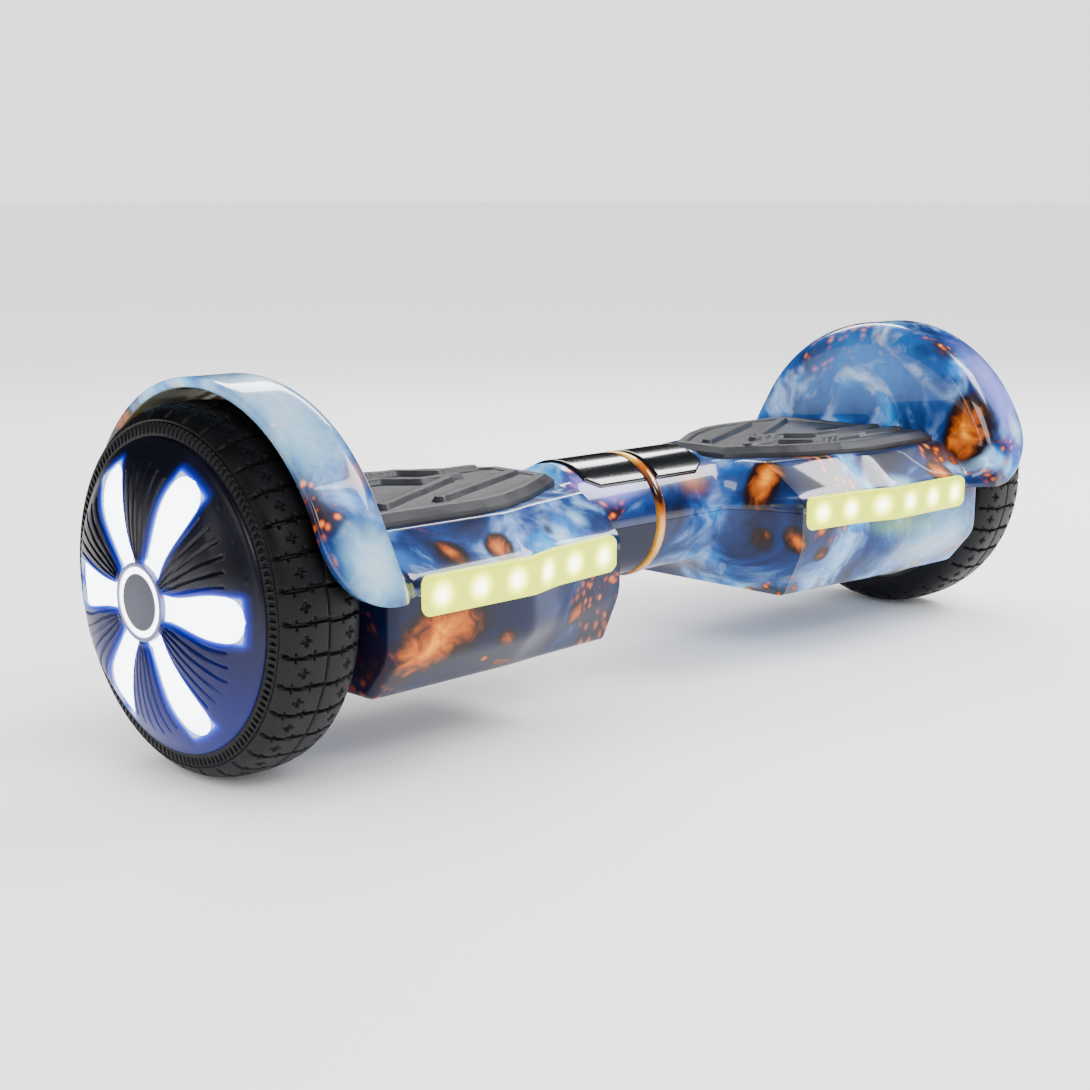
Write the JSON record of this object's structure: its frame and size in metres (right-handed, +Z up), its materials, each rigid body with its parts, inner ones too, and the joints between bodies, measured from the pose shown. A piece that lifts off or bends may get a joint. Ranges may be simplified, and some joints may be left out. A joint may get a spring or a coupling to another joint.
{
  "type": "self balancing hoverboard",
  "caption": "Two wheeled self balancing board whose halves twist about a central tube, with fenders, lit wheel covers, front light strips and rubber foot pads.",
  "frame": {"origin": "on the floor under the centre of the board", "axes": "+X along the board from the control board half to the battery half, -Y is the front with the light strips, +Z up"},
  "size_m": [0.592, 0.1852, 0.1752],
  "materials": {
    "printed_shell": "gloss",
    "printed_shell_dark": "gloss",
    "pad_rubber": "satin",
    "buffer_rubber": "matte",
    "light_lens": "satin",
    "circuit_board": "satin",
    "gloss_trim": "gloss",
    "cast_aluminium": "as cast",
    "black_steel": "black oxide",
    "zinc_steel": "zinc plated",
    "bright_steel": "ground",
    "copper_winding": "enamelled",
    "tyre_rubber": "matte",
    "black_rim": "painted black",
    "magnet": "nickel plated",
    "cover_plastic": "satin",
    "wheel_glow": "frosted",
    "badge": "satin",
    "bronze": "sintered",
    "collar": "gloss",
    "cable": "matte",
    "battery_wrap": "shrink wrap",
    "socket_metal": "plated",
    "button": "satin"
  },
  "bodies": {
    "left_half": {"left_top_shell": "printed_shell", "left_bottom_shell": "printed_shell_dark", "left_light_lens": "light_lens", "left_light_board": "circuit_board", "left_tube_cap": "gloss_trim", "left_chassis": "cast_aluminium", "left_axle_clamp": "cast_aluminium", "left_clamp_bolts": "black_steel", "left_sensor_board": "circuit_board", "left_shell_screws": "zinc_steel", "left_axle": "bright_steel", "left_stator": "copper_winding", "pivot_tube": "bright_steel", "retaining_ring": "black_steel", "tube_grommets": "buffer_rubber", "link_cable": "cable", "left_motor_cable": "cable", "main_board": "circuit_board", "speaker": "gloss_trim", "charge_socket": "socket_metal", "power_switch": "gloss_trim"},
    "right_half": {"right_top_shell": "printed_shell", "right_bottom_shell": "printed_shell_dark", "right_light_lens": "light_lens", "right_light_board": "circuit_board", "right_tube_cap": "gloss_trim", "right_chassis": "cast_aluminium", "right_axle_clamp": "cast_aluminium", "right_clamp_bolts": "black_steel", "right_sensor_board": "circuit_board", "right_shell_screws": "zinc_steel", "right_axle": "bright_steel", "right_stator": "copper_winding", "pivot_bushes": "bronze", "collar_ring": "collar", "right_motor_cable": "cable", "battery_pack": "battery_wrap"},
    "left_wheel": {"left_tyre": "tyre_rubber", "left_motor_rim": "black_rim", "left_motor_side_cover": "cast_aluminium", "left_side_cover_screws": "zinc_steel", "left_magnets": "magnet", "left_bearings": "bright_steel", "left_wheel_cover": "cover_plastic", "left_wheel_light": "wheel_glow", "left_wheel_badge": "badge"},
    "right_wheel": {"right_tyre": "tyre_rubber", "right_motor_rim": "black_rim", "right_motor_side_cover": "cast_aluminium", "right_side_cover_screws": "zinc_steel", "right_magnets": "magnet", "right_bearings": "bright_steel", "right_wheel_cover": "cover_plastic", "right_wheel_light": "wheel_glow", "right_wheel_badge": "badge"},
    "left_pad": {"left_foot_pad": "pad_rubber", "left_pad_buffers": "buffer_rubber"},
    "right_pad": {"right_foot_pad": "pad_rubber", "right_pad_buffers": "buffer_rubber"},
    "power_button": {"power_button": "button"}
  },
  "joints": [
    {"name": "half_twist", "type": "hinge", "parent": "left_half", "child": "right_half", "pos_m": [0, 0, 0.085], "axis": [1, 0, 0], "range_deg": [-12, 12]},
    {"name": "left_wheel_spin", "type": "hinge", "parent": "left_half", "child": "left_wheel", "pos_m": [-0.258, 0, 0.0825], "axis": [1, 0, 0], "continuous": true},
    {"name": "right_wheel_spin", "type": "hinge", "parent": "right_half", "child": "right_wheel", "pos_m": [0.258, 0, 0.0825], "axis": [1, 0, 0], "continuous": true},
    {"name": "left_pad_press", "type": "slide", "parent": "left_half", "child": "left_pad", "axis": [0, 0, -1], "range_m": [0, 0.0012], "stiffness_N_per_m": 30000, "springref_m": -0.0003},
    {"name": "right_pad_press", "type": "slide", "parent": "right_half", "child": "right_pad", "axis": [0, 0, -1], "range_m": [0, 0.0012], "stiffness_N_per_m": 30000, "springref_m": -0.0003},
    {"name": "power_button_press", "type": "slide", "parent": "left_half", "child": "power_button", "axis": [0, -1, 0], "range_m": [0, 0.0008], "stiffness_N_per_m": 2000, "springref_m": -0.0005}
  ]
}
